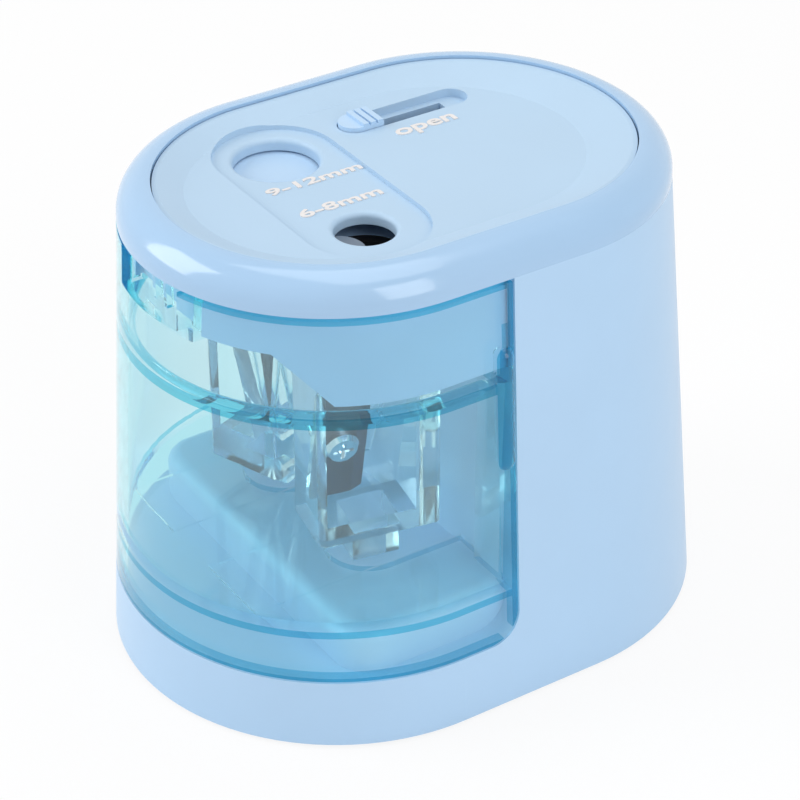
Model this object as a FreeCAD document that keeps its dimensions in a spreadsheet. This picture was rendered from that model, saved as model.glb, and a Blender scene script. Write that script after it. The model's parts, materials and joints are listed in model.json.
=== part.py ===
import FreeCAD, Part
import math
import os
from types import SimpleNamespace

import Sketcher

# A battery-run pencil sharpener with two pencil holes, in millimetres.
# It stands on its feet at z = 0. The clear shavings bin is to the front, at -Y, and the two
# holes lie side by side along X. Every piece is a solid of its own.

SIZES = {
    # Tapered case: how far its sides, front and rear draw in between the table and the rim
    "overall_height": 78.4,
    "base_length": 97.0,
    "side_room": 3.3,
    "side_taper": 4.7,
    "front_taper": 4.1,
    "rear_taper": 6.9,
    "foot_proud": 0.6,
    # Clearances
    "slide_gap": 0.3,
    "run_fit": 0.06,
    "pin_fit": 0.05,
    "seam_gap": 0.2,
    # Body shell
    "shell_wall": 2.2,
    "floor_thick": 2.0,
    "band_top": 11.8,
    "window_edge": 2.3,
    "window_corner": 5.0,
    "partition_thick": 2.5,
    "platform_front": 28.9,
    "platform_wall": 1.2,
    "platform_corner": 5.5,
    "platform_rear_corner": 5.0,
    "bay_corner": 2.4,
    "bay_rear_corner": 1.0,
    "platform_round": 2.4,
    # Four round cells side by side under the platform
    "cell_diameter": 14.5,
    "cell_length": 50.5,
    "cell_gap": 0.15,
    "cell_button_radius": 2.6,
    "cell_button_height": 1.2,
    "leaf_room": 2.5,
    "leaf_width": 7.0,
    "leaf_radius": 4.2,
    "contact_sheet": 0.4,
    "contact_height": 9.0,
    # Base plate, door and feet
    "base_plate_thick": 2.0,
    "door_tab_width": 14.0,
    "door_tab_depth": 3.0,
    "foot_radius": 4.0,
    "foot_sink": 0.4,
    "foot_x": 20.0,
    "foot_inset": 15.1,
    "base_screw_x": 8.0,
    "base_screw_inset": 10.5,
    # Screws
    "boss_radius": 3.2,
    "screw_radius": 1.3,
    "screw_head_radius": 2.4,
    "screw_head_height": 1.4,
    "screw_grip": 6.0,
    "recess_arm_share": 0.6,
    "recess_web_share": 0.12,
    # Top rim and deck
    "rim_inset": 5.2,
    "rim_round": 4.8,
    "rim_ledge": 1.0,
    "rim_ledge_width": 1.8,
    "deck_drop": 2.0,
    "deck_thick": 2.6,
    "deck_edge_drop": 0.5,
    "deck_land": 0.7,
    "deck_flat_width": 42.0,
    "deck_flat_front": 34.5,
    "deck_flat_rear": 28.0,
    # Pencil holes
    "hole_spacing": 24.6,
    "hole_forward": 15.0,
    "small_hole_radius": 4.5,
    "large_hole_radius": 6.5,
    "hole_round": 0.8,
    "pill_radius": 9.65,
    "pill_depth": 0.7,
    # Selector slider and shutter
    "trough_x": 14.2,
    "trough_width": 5.3,
    "trough_front": 2.7,
    "trough_depth": 1.4,
    "trough_spare": 1.8,
    "selector_travel": 14.3,
    "knob_length": 6.6,
    "knob_proud": 0.7,
    "knob_rib_height": 0.45,
    "knob_rib_width": 0.9,
    "stem_width": 2.2,
    "stem_length": 2.0,
    "shutter_thick": 1.1,
    "shutter_margin": 1.1,
    # Start bar and switch
    "bar_thick": 0.9,
    "bar_travel": 4.2,
    "bar_small_tongue": 4.2,
    "bar_large_tongue": 5.4,
    "bar_reach": 2.0,
    "bar_depth": 3.0,
    "switch_width": 12.8,
    "switch_depth": 5.6,
    "switch_height": 5.2,
    # Gear train
    "gear_module": 0.5,
    "tooth_tip_share": 0.9,
    "tooth_root_share": 1.25,
    "tooth_slack": 0.2,
    "pressure_angle": 20.0,
    "drive_teeth": 40,
    "idler_teeth": 40,
    "pinion_teeth": 14,
    "wheel_teeth": 38,
    "gear_face": 5.0,
    "wheel_face": 3.6,
    "axle_radius": 1.5,
    "idler_hub_radius": 2.6,
    "hub_wall": 1.8,
    "hub_clear": 0.3,
    "hub_drop": 1.5,
    # Gear housing and cover
    "housing_inset": 2.5,
    "housing_wall": 2.0,
    "housing_floor": 1.8,
    "housing_chin": 28.5,
    "housing_brow": 35.0,
    "housing_brow_rise": 7.7,
    "well_front": 26.8,
    "cover_thick": 1.5,
    "post_radius": 2.2,
    "front_post_y": 23.6,
    "side_post_x": 23.5,
    "side_post_y": 1.0,
    "rear_post_y": 34.4,
    "tray_width": 25.0,
    "tower_x": 21.0,
    "tower_y": 18.0,
    # Motor
    "motor_radius": 12.2,
    "motor_clear": 3.1,
    "motor_cap": 2.8,
    "motor_boss_radius": 3.1,
    "motor_shaft_radius": 1.0,
    "motor_shaft_depth": 12.0,
    "motor_screw_x": 8.5,
    "terminal_length": 4.2,
    "terminal_width": 2.4,
    "terminal_thick": 0.5,
    "terminal_x": 6.0,
    # Cutters
    "block_clear": 4.5,
    "block_sill": 3.5,
    "block_head": 3.0,
    "blade_cheek": 1.1,
    "open_cheek": 4.2,
    "block_round": 1.2,
    "small_block_width": 19.5,
    "small_block_depth": 12.0,
    "large_block_width": 20.0,
    "large_block_depth": 14.0,
    "cone_angle": 14.0,
    "cone_tip_radius": 0.5,
    "socket_gap": 0.1,
    "peg_width": 7.5,
    "peg_depth": 7.0,
    "peg_sink": 0.9,
    "blade_width": 7.8,
    "blade_thick": 0.8,
    "blade_bevel": 2.0,
    "blade_gap": 0.3,
    "blade_screw_shank": 1.3,
    "blade_screw_head": 2.7,
    "blade_screw_height": 1.5,
    "blade_screw_length": 4.5,
    "small_block_angle": -11.0,
    "large_block_angle": 200.0,
    # Shavings bin
    "bin_wall": 1.8,
    "bin_floor": 1.8,
    "bin_top_gap": 0.5,
    "bin_back_wall": 1.8,
    "bin_back_height": 34.0,
    "bin_back_opening": 25.4,
    "notch_radius": 6.8,
    "track_depth": 0.4,
    "ridge_height": 56.0,
    "ridge_radius": 1.15,
    "ridge_end": 7.2,
    "grip_radius": 1.6,
    "grip_proud": 1.1,
    "grip_low": 43.6,
    "grip_high": 60.8,
    "catch_half_width": 8.1,
    "catch_wall": 1.2,
    "catch_depth": 3.8,
    "catch_drop": 6.3,
    "catch_ledge": 1.8,
    "catch_rib_width": 0.8,
    "catch_rib_depth": 1.2,
    "catch_rib_spacing": 3.2,
}

doc = FreeCAD.newDocument("pencil_sharpener")
sheet = doc.addObject("Spreadsheet::Sheet", "sizes")
for row, (size_name, number) in enumerate(SIZES.items(), start=1):
    sheet.set(f"A{row}", size_name)
    sheet.set(f"B{row}", str(number))
    sheet.setAlias(f"B{row}", size_name)
doc.recompute()


class Size:
    """A number that remembers the sheet formula it comes from."""

    def __init__(self, value, text):
        self.value = value
        self.text = text

    def __add__(self, other):
        other = as_size(other)
        return Size(self.value + other.value, f"({self.text} + {other.text})")

    def __sub__(self, other):
        other = as_size(other)
        return Size(self.value - other.value, f"({self.text} - {other.text})")

    def __mul__(self, other):
        other = as_size(other)
        return Size(self.value * other.value, f"({self.text} * {other.text})")

    def __truediv__(self, other):
        other = as_size(other)
        return Size(self.value / other.value, f"({self.text} / {other.text})")

    def __neg__(self):
        return Size(-self.value, f"(0 - {self.text})")

    __radd__ = __add__
    __rmul__ = __mul__

    def __rsub__(self, other):
        return as_size(other) - self


def as_size(number):
    return number if isinstance(number, Size) else Size(float(number), repr(float(number)))


def root(size):
    return Size(math.sqrt(size.value), f"sqrt({size.text})")


def tangent(angle):
    return Size(math.tan(math.radians(angle.value)), f"tan({angle.text})")


def cosine(angle):
    return Size(math.cos(math.radians(angle.value)), f"cos({angle.text})")


d = SimpleNamespace(**{name: Size(float(number), "sizes." + name) for name, number in SIZES.items()})
NOTHING = as_size(0)
FAR = d.base_length
foot_y = d.base_length / 2 - d.foot_inset
base_screw_y = d.base_length / 2 - d.base_screw_inset
KNOB_RIBS = 3

# Heights, from the rim's top down through the slider, the start bar and the gear train
deck_flat = d.overall_height - d.deck_drop
deck_low = deck_flat - d.deck_thick
deck_edge = d.overall_height - d.deck_edge_drop
rim_bottom = deck_low - d.rim_ledge
shutter_top = deck_low - d.slide_gap
shutter_low = shutter_top - d.shutter_thick
bar_top = shutter_low - d.slide_gap
bar_low = bar_top - d.bar_thick
cover_top = bar_low - d.slide_gap
cover_low = cover_top - d.cover_thick
wheel_top = cover_low - 2 * d.hub_clear
wheel_low = wheel_top - d.wheel_face
gear_top = wheel_low - 2 * d.hub_clear
gear_low = gear_top - d.gear_face
well_floor = gear_low - d.hub_clear
housing_bottom = well_floor - d.housing_floor
block_top = housing_bottom - d.hub_drop

# Heights from the table up
plate_top = d.foot_proud + d.base_plate_thick
cell_middle = plate_top + d.cell_gap + d.cell_diameter / 2
bay_roof = plate_top + 2 * d.cell_gap + d.cell_diameter
platform_top = bay_roof + d.floor_thick
bin_floor_low = platform_top + d.slide_gap
bin_floor_top = bin_floor_low + d.bin_floor
bin_bottom = d.band_top + d.slide_gap
bin_top = rim_bottom - d.bin_top_gap
block_low = bin_floor_top + d.block_clear
peg_low = bin_floor_top - d.peg_sink

# Plan sizes that several pieces share
bay_half = 2 * d.cell_diameter + 2 * d.cell_gap
platform_half = bay_half + d.platform_wall
bay_front = d.platform_wall - d.platform_front
bay_rear = bay_front + d.leaf_room + d.cell_length + d.cell_button_height + 2 * d.contact_sheet
base_half = platform_half + d.shell_wall + d.side_room
rim_half = base_half - d.side_taper
hole_x = d.hole_spacing / 2
hole_y = -d.hole_forward
partition_back = d.partition_thick - d.window_edge
bin_back = -d.window_edge - d.slide_gap


def half_width(height):
    """Half the case's width at a height."""
    return base_half - d.side_taper * height / rim_bottom


def front_at(height):
    """Where the case's nose is at a height, along Y."""
    return d.front_taper * height / rim_bottom - d.base_length / 2


def rear_at(height):
    """Where the case's tail is at a height, along Y."""
    return d.base_length / 2 - d.rear_taper * height / rim_bottom


def bind(item, prop, size):
    item.setExpression(prop, as_size(size).text)


def origin_feature(body, role):
    return next(item for item in body.Origin.OriginFeatures if item.Role == role)


def new_body(label):
    body = doc.addObject("PartDesign::Body", label)
    body.Label = label
    return body


def place(body, x, y, z=NOTHING, yaw=0.0, pitch=0.0):
    """Put a body where it stands in the sharpener, turned about Z and tipped about its own Y."""
    body.Placement = FreeCAD.Placement(FreeCAD.Vector(), FreeCAD.Rotation(yaw, pitch, 0))
    for axis, size in zip("xyz", (x, y, z)):
        bind(body, "Placement.Base." + axis, size)


def add_box(body, name, low, high, cut=False):
    box = body.newObject("PartDesign::SubtractiveBox" if cut else "PartDesign::AdditiveBox", name)
    for prop, axis, start, end in zip(("Length", "Width", "Height"), "xyz", low, high):
        bind(box, prop, as_size(end) - as_size(start))
        bind(box, "Placement.Base." + axis, start)
    return box


def set_round(item, centre, turn):
    if turn is not None:
        item.Placement = FreeCAD.Placement(FreeCAD.Vector(), turn)
    for axis, size in zip("xyz", centre):
        bind(item, "Placement.Base." + axis, size)


def add_cylinder(body, name, centre, radius, height, cut=False, turn=None):
    kind = "PartDesign::SubtractiveCylinder" if cut else "PartDesign::AdditiveCylinder"
    cylinder = body.newObject(kind, name)
    bind(cylinder, "Radius", radius)
    bind(cylinder, "Height", height)
    set_round(cylinder, centre, turn)
    return cylinder


def add_cone(body, name, centre, low_radius, high_radius, height, cut=False):
    cone = body.newObject("PartDesign::SubtractiveCone" if cut else "PartDesign::AdditiveCone", name)
    bind(cone, "Radius1", low_radius)
    bind(cone, "Radius2", high_radius)
    bind(cone, "Height", height)
    set_round(cone, centre, None)
    return cone


def add_sphere(body, name, centre, radius):
    sphere = body.newObject("PartDesign::AdditiveSphere", name)
    bind(sphere, "Radius", radius)
    set_round(sphere, centre, None)
    return sphere


def new_sketch(body, name, role="XY_Plane", offset=NOTHING):
    sketch = body.newObject("Sketcher::SketchObject", name)
    sketch.AttachmentSupport = [(origin_feature(body, role), "")]
    sketch.MapMode = "FlatFace"
    bind(sketch, "AttachmentOffset.Base.z", offset)
    return sketch


def hold_point(sketch, edge, end, x, y):
    """Tie one point of a sketch edge to its distances from the sketch's origin."""
    for kind, axis, size in (("DistanceX", -2, as_size(x)), ("DistanceY", -1, as_size(y))):
        if size.value == 0:
            sketch.addConstraint(Sketcher.Constraint("PointOnObject", edge, end, axis))
        else:
            made = sketch.addConstraint(Sketcher.Constraint(kind, -1, 1, edge, end, size.value))
            bind(sketch, f"Constraints[{made}]", size)


def draw(sketch, corners, arcs=None):
    """Draw an outline through its corners. arcs maps an edge to its centre and its turning sense."""
    arcs = arcs or {}
    points = [(as_size(x), as_size(y)) for x, y in corners]
    count = len(points)
    for edge in range(count):
        (x0, y0), (x1, y1) = points[edge], points[(edge + 1) % count]
        start = FreeCAD.Vector(x0.value, y0.value, 0)
        end = FreeCAD.Vector(x1.value, y1.value, 0)
        if edge not in arcs:
            sketch.addGeometry(Part.LineSegment(start, end))
            continue
        cx, cy, ccw = arcs[edge]
        middle = FreeCAD.Vector(as_size(cx).value, as_size(cy).value, 0)
        first, second = (start, end) if ccw else (end, start)
        low = math.atan2(first.y - middle.y, first.x - middle.x)
        high = math.atan2(second.y - middle.y, second.x - middle.x)
        circle = Part.Circle(middle, FreeCAD.Vector(0, 0, 1), (first - middle).Length)
        sketch.addGeometry(Part.ArcOfCircle(circle, low, high if high > low else high + 2 * math.pi))

    def ends(edge):
        """The point numbers of an edge's start and end along the outline."""
        return (2, 1) if edge in arcs and not arcs[edge][2] else (1, 2)

    for edge in range(count):
        hold_point(sketch, edge, ends(edge)[0], *points[edge])
    for edge in range(count):
        after = (edge + 1) % count
        sketch.addConstraint(Sketcher.Constraint("Coincident", edge, ends(edge)[1], after, ends(after)[0]))
    for edge, (cx, cy, _) in arcs.items():
        (x0, y0), (x1, y1) = points[edge], points[(edge + 1) % count]
        level = abs(x1.value - x0.value) >= abs(y1.value - y0.value)
        kind, axis, size = ("DistanceY", -1, as_size(cy)) if level else ("DistanceX", -2, as_size(cx))
        if size.value == 0:
            sketch.addConstraint(Sketcher.Constraint("PointOnObject", edge, 3, axis))
        else:
            made = sketch.addConstraint(Sketcher.Constraint(kind, -1, 1, edge, 3, size.value))
            bind(sketch, f"Constraints[{made}]", size)
    return sketch


def track(sketch, half, front, rear, round_front=True, round_rear=True):
    """Draw a racetrack, with either end round or cut straight across."""
    low = front + half if round_front else front
    high = rear - half if round_rear else rear
    arcs = {}
    if round_front:
        arcs[0] = (NOTHING, low, True)
    if round_rear:
        arcs[2] = (NOTHING, high, True)
    return draw(sketch, [(-half, low), (half, low), (half, high), (-half, high)], arcs)


def blunt_track(sketch, half, nose, cut, rear):
    """Draw a racetrack whose round nose, about a centre on the Y axis, is cut straight across."""
    side = root(half * half - (nose - cut) * (nose - cut))
    high = rear - half
    corners = [(-side, cut), (side, cut), (half, nose), (half, high), (-half, high), (-half, nose)]
    return draw(sketch, corners, {1: (NOTHING, nose, True), 3: (NOTHING, high, True), 5: (NOTHING, nose, True)})


def rounded_box(sketch, half, front, rear, front_round, rear_round):
    """Draw a rectangle about the Y axis, with its front and its rear corners rounded."""
    inner_front = half - front_round
    inner_rear = half - rear_round
    low = front + front_round
    high = rear - rear_round
    corners = [
        (-inner_front, front), (inner_front, front), (half, low), (half, high),
        (inner_rear, rear), (-inner_rear, rear), (-half, high), (-half, low),
    ]
    arcs = {
        1: (inner_front, low, True), 3: (inner_rear, high, True),
        5: (-inner_rear, high, True), 7: (-inner_front, low, True),
    }
    return draw(sketch, corners, arcs)


def loft(body, name, low, high, cut=False):
    made = body.newObject("PartDesign::SubtractiveLoft" if cut else "PartDesign::AdditiveLoft", name)
    made.Profile = low
    made.Sections = [high]
    made.Ruled = True
    return made


def taper(body, name, low, high, inset, cut=False, flat_front=None, flat_rear=None, blunt=None):
    """The case's tapered form between two heights, drawn in by an inset.

    Its ends are cut flat where the sides are straight, or its nose is cut blunt within its curve.
    """
    sketches = []
    for part, height in (("low", low), ("high", high)):
        sketch = new_sketch(body, f"{name}_{part}", offset=height)
        half = half_width(height) - inset
        rear = rear_at(height) - inset if flat_rear is None else flat_rear
        if blunt is None:
            front = front_at(height) + inset if flat_front is None else flat_front
            track(sketch, half, front, rear, flat_front is None, flat_rear is None)
        else:
            blunt_track(sketch, half, front_at(height) + half_width(height), blunt, rear)
        sketches.append(sketch)
    return loft(body, name, *sketches, cut=cut)


def pad(body, name, sketch, length, both_ways=False, reverse=False):
    made = body.newObject("PartDesign::Pad", name)
    made.Profile = sketch
    bind(made, "Length", length)
    made.SideType = "Symmetric" if both_ways else "One side"
    made.Reversed = reverse
    return made


def pocket(body, name, sketch, length, both_ways=False, reverse=True):
    """Cut a sketch away. Reversed, a pocket goes the way that the sketch's plane faces."""
    made = body.newObject("PartDesign::Pocket", name)
    made.Profile = sketch
    bind(made, "Length", length)
    made.SideType = "Symmetric" if both_ways else "One side"
    made.Reversed = reverse
    return made


def revolve(body, name, sketch):
    made = body.newObject("PartDesign::Revolution", name)
    made.Profile = sketch
    made.ReferenceAxis = (origin_feature(body, "Z_Axis"), [""])
    made.Angle = 360
    return made


def fillet(body, name, radius, wanted):
    """Round the edges of the body's last feature that the test picks."""
    doc.recompute()
    base = body.Tip
    names = [f"Edge{n}" for n, edge in enumerate(base.Shape.Edges, start=1) if wanted(edge)]
    made = body.newObject("PartDesign::Fillet", name)
    made.Base = (base, names)
    bind(made, "Radius", radius)
    return made


def at_height(edge, height):
    return all(abs(vertex.Z - height.value) < 1e-4 for vertex in edge.Vertexes)


def in_front(edge, limit):
    """Whether an edge lies in front of a plane across Y, and is not in that plane."""
    heights = [vertex.Y - limit.value for vertex in edge.Vertexes]
    return max(heights) < 1e-4 and min(heights) < -1e-4


def is_circle(edge, radius):
    return hasattr(edge.Curve, "Radius") and abs(edge.Curve.Radius - radius.value) < 1e-4


def group(label, bodies):
    """Several like pieces under one name."""
    made = doc.addObject("Part::Compound", label)
    made.Label = label
    made.Links = bodies
    return made


def cut_slot(body, name, start, end, radius, low, high):
    """Cut a round-ended slot along X or Y between two centres."""
    (x0, y0), (x1, y1) = start, end
    for end_name, (x, y) in (("start", start), ("end", end)):
        add_cylinder(body, f"{name}_{end_name}", (x, y, low), radius, high - low, cut=True)
    if y0.text == y1.text:
        add_box(body, name, (x0, y0 - radius, low), (x1, y0 + radius, high), cut=True)
    else:
        add_box(body, name, (x0 - radius, y0, low), (x0 + radius, y1, high), cut=True)


def signs():
    """Right and left, as plain factors and words."""
    return ((1, "right"), (-1, "left"))


def ends():
    """Rear and front, as plain factors and words."""
    return ((1, "rear"), (-1, "front"))


def make_body_shell():
    body = new_body("body_shell")
    taper(body, "outer_wall", d.foot_proud, rim_bottom, NOTHING)

    # The window in front, where the bin goes, with rounded lower corners
    window = new_sketch(body, "window_outline", "YZ_Plane")
    edge = -d.window_edge
    corner_y = edge - d.window_corner
    corner_z = d.band_top + d.window_corner
    outline = [
        (-FAR, d.band_top), (corner_y, d.band_top), (edge, corner_z),
        (edge, d.overall_height), (-FAR, d.overall_height),
    ]
    draw(window, outline, {1: (corner_y, corner_z, True)})
    pocket(body, "window", window, 2 * FAR, both_ways=True)

    taper(body, "rear_hollow", d.band_top, housing_bottom, d.shell_wall, True, flat_front=partition_back)
    taper(body, "upper_hollow", housing_bottom, rim_bottom, d.shell_wall, True)
    taper(body, "underside_hollow", d.foot_proud, d.band_top - d.floor_thick, d.shell_wall, True)

    # The battery platform under the bin, hollow from below
    outline = new_sketch(body, "platform_outline", offset=plate_top)
    rounded_box(
        outline, platform_half, -d.platform_front, bay_rear + d.platform_wall,
        d.platform_corner, d.platform_rear_corner,
    )
    pad(body, "platform", outline, platform_top - plate_top)
    fillet(
        body, "platform_edge", d.platform_round,
        lambda edge: at_height(edge, platform_top) and in_front(edge, -d.window_edge),
    )
    bay = new_sketch(body, "bay_outline", offset=plate_top)
    rounded_box(bay, bay_half, bay_front, bay_rear, d.bay_corner, d.bay_rear_corner)
    pocket(body, "bay", bay, bay_roof - plate_top)

    # Bosses for the base plate's screws, and two towers that carry the gear housing
    for across, side in signs():
        for along, end in ends():
            x, y = across * d.base_screw_x, along * base_screw_y
            add_cylinder(body, f"boss_{side}_{end}", (x, y, plate_top), d.boss_radius, d.band_top - plate_top)
            add_cylinder(
                body, f"boss_hole_{side}_{end}", (x, y, plate_top),
                d.screw_radius + d.pin_fit, d.screw_grip, cut=True,
            )
        x, y = across * d.tower_x, d.tower_y
        low = platform_top - d.floor_thick / 2
        add_cylinder(body, f"tower_{side}", (x, y, low), d.boss_radius, housing_bottom - low)
        add_cylinder(
            body, f"tower_hole_{side}", (x, y, housing_bottom - d.screw_grip),
            d.screw_radius + d.pin_fit, d.screw_grip, cut=True,
        )
    return body


def make_base_plate():
    body = new_body("base_plate")
    taper(body, "plate", d.foot_proud, plate_top, d.shell_wall + d.seam_gap)
    opening = new_sketch(body, "door_opening_outline", offset=d.foot_proud)
    rounded_box(opening, bay_half, bay_front, bay_rear, d.bay_corner, d.bay_rear_corner)
    pocket(body, "door_opening", opening, d.base_plate_thick)
    for across, side in signs():
        for along, end in ends():
            x, y = across * d.base_screw_x, along * base_screw_y
            add_cylinder(
                body, f"screw_hole_{side}_{end}", (x, y, d.foot_proud),
                d.screw_radius + d.pin_fit, d.base_plate_thick, cut=True,
            )
            add_cylinder(
                body, f"screw_seat_{side}_{end}", (x, y, d.foot_proud),
                d.screw_head_radius + d.pin_fit, d.screw_head_height, cut=True,
            )
            x, y = across * d.foot_x, along * foot_y
            add_cylinder(
                body, f"foot_seat_{side}_{end}", (x, y, d.foot_proud),
                d.foot_radius + d.pin_fit, d.foot_sink, cut=True,
            )
    # The snap tab of the door sits in this notch
    add_box(
        body, "tab_notch", (-d.door_tab_width / 2, bay_rear - d.seam_gap, d.foot_proud),
        (d.door_tab_width / 2, bay_rear + d.door_tab_depth, plate_top), cut=True,
    )
    return body


def make_battery_door():
    body = new_body("battery_door")
    outline = new_sketch(body, "door_outline", offset=d.foot_proud)
    gap = d.seam_gap
    rounded_box(
        outline, bay_half - gap, bay_front + gap, bay_rear - gap, d.bay_corner, d.bay_rear_corner,
    )
    pad(body, "door", outline, d.base_plate_thick)
    half = d.door_tab_width / 2 - gap
    add_box(
        body, "snap_tab", (-half, bay_rear - 2 * gap, d.foot_proud),
        (half, bay_rear + d.door_tab_depth - gap, plate_top),
    )
    return body


def make_rubber_feet():
    feet = []
    for across, side in signs():
        for along, end in ends():
            foot = new_body(f"foot_{side}_{end}")
            place(foot, across * d.foot_x, along * foot_y)
            add_cylinder(foot, f"pad_{side}_{end}", (NOTHING,) * 3, d.foot_radius, d.foot_proud + d.foot_sink)
            feet.append(foot)
    return group("rubber_feet", feet)


def make_screw(name, shank, head, height, length):
    """A pan-head screw that points down, its head's seat at z = 0, with a cross recess."""
    body = new_body(name)
    crown = height / 2
    shoulder = head - height / 3
    outline = new_sketch(body, name + "_profile", "XZ_Plane")
    corners = [
        (NOTHING, -length), (shank, -length), (shank, NOTHING), (head, NOTHING),
        (head, crown), (shoulder, height), (NOTHING, height),
    ]
    draw(outline, corners)
    revolve(body, name + "_form", outline)
    arm = head * d.recess_arm_share
    web = head * d.recess_web_share
    for part, x, y in (("long", arm, web), ("cross", web, arm)):
        add_box(body, f"{name}_{part}", (-x, -y, crown), (x, y, height), cut=True)
    return body


def make_screw_group(label, places, turned=False):
    """Like screws at several places, pointing down, or up into the base."""
    screws = []
    for number, (x, y, z) in enumerate(places):
        screw = make_screw(
            f"{label}_{number}", d.screw_radius, d.screw_head_radius, d.screw_head_height,
            d.screw_grip - d.slide_gap,
        )
        place(screw, x, y, z, pitch=180.0 if turned else 0.0)
        screws.append(screw)
    return group(label, screws)


def make_base_screws():
    seat = d.foot_proud + d.screw_head_height
    return make_screw_group(
        "base_screws",
        [(across * d.base_screw_x, along * base_screw_y, seat) for across, _ in signs() for along, _ in ends()],
        turned=True,
    )


def make_housing_screws():
    return make_screw_group(
        "housing_screws", [(across * d.tower_x, d.tower_y, well_floor) for across, _ in signs()],
    )


def cover_screw_places():
    sides = [(across * d.side_post_x, -d.side_post_y) for across, _ in signs()]
    return sides + [(NOTHING, -d.front_post_y), (NOTHING, d.rear_post_y)]


def make_cover_screws():
    sunk = cover_top - d.screw_head_height
    return make_screw_group("cover_screws", [(x, y, sunk) for x, y in cover_screw_places()])


def cell_x(number):
    return (number - 1.5) * (d.cell_diameter + d.cell_gap)


def make_battery_cells():
    """Four cells side by side, turned end for end in turn."""
    cells = []
    for number in range(4):
        cell = new_body(f"cell_{number}")
        outline = new_sketch(cell, f"cell_{number}_profile", "XZ_Plane")
        radius = d.cell_diameter / 2
        shoulder = radius - d.contact_sheet
        high = d.cell_length
        tip = high + d.cell_button_height
        button = d.cell_button_radius
        corners = [
            (NOTHING, NOTHING), (shoulder, NOTHING), (radius, d.contact_sheet),
            (radius, high - d.contact_sheet), (shoulder, high), (button, high), (button, tip), (NOTHING, tip),
        ]
        draw(outline, corners)
        revolve(cell, f"cell_{number}_form", outline)
        rearward = number % 2 == 0
        start = bay_front + d.leaf_room
        y = start if rearward else start + d.cell_length + d.cell_button_height
        cell.Placement.Rotation = FreeCAD.Rotation(0, 0, -90 if rearward else 90)
        for axis, size in zip("xyz", (cell_x(number), y, cell_middle)):
            bind(cell, "Placement.Base." + axis, size)
        cells.append(cell)
    return group("battery_cells", cells)


def make_contact_leaves():
    """Sprung leaves at the bay's front, each an arched strip on a flat tab."""
    along_x = FreeCAD.Rotation(FreeCAD.Vector(0, 1, 0), 90)
    leaves = []
    for number in range(4):
        leaf = new_body(f"leaf_{number}")
        half = d.leaf_width / 2
        arch_middle = bay_front + d.leaf_room - d.leaf_radius - d.cell_gap
        arch = (-half, arch_middle, cell_middle)
        add_cylinder(leaf, f"arch_{number}", arch, d.leaf_radius, d.leaf_width, turn=along_x)
        hollow = d.leaf_radius - d.contact_sheet
        add_cylinder(leaf, f"arch_hollow_{number}", arch, hollow, d.leaf_width, cut=True, turn=along_x)
        low = cell_middle - d.contact_height / 2
        high = cell_middle + d.contact_height / 2
        add_box(
            leaf, f"arch_back_{number}", (-half, -FAR, low), (half, bay_front + d.cell_gap, high), cut=True,
        )
        add_box(
            leaf, f"tab_{number}", (-half, bay_front + d.pin_fit, low),
            (half, bay_front + d.pin_fit + d.contact_sheet, high),
        )
        place(leaf, cell_x(number), NOTHING)
        leaves.append(leaf)
    return group("contact_leaves", leaves)


def make_contact_plates():
    """Flat contact plates at the bay's rear."""
    plates = []
    half = d.contact_height / 2
    for number in range(4):
        plate = new_body(f"plate_{number}")
        add_box(
            plate, f"sheet_{number}", (-half, bay_rear - d.contact_sheet - d.pin_fit, cell_middle - half),
            (half, bay_rear - d.pin_fit, cell_middle + half),
        )
        place(plate, cell_x(number), NOTHING)
        plates.append(plate)
    return group("contact_plates", plates)


def rim_track(sketch, inset):
    """The rim's outline at its foot, drawn in by an inset."""
    return track(sketch, rim_half - inset, front_at(rim_bottom) + inset, rear_at(rim_bottom) - inset)


def make_top_rim():
    body = new_body("top_rim")
    pad(
        body, "ring", rim_track(new_sketch(body, "ring_outline", offset=rim_bottom), NOTHING),
        d.overall_height - rim_bottom,
    )
    fillet(body, "ring_round", d.rim_round, lambda edge: at_height(edge, d.overall_height))
    seat = rim_track(new_sketch(body, "seat_outline", offset=deck_low), d.rim_inset)
    pocket(body, "deck_seat", seat, d.overall_height - deck_low)
    inside = d.rim_inset + d.rim_ledge_width
    opening = rim_track(new_sketch(body, "opening_outline", offset=rim_bottom), inside)
    pocket(body, "opening", opening, d.rim_ledge)
    return body


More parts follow.
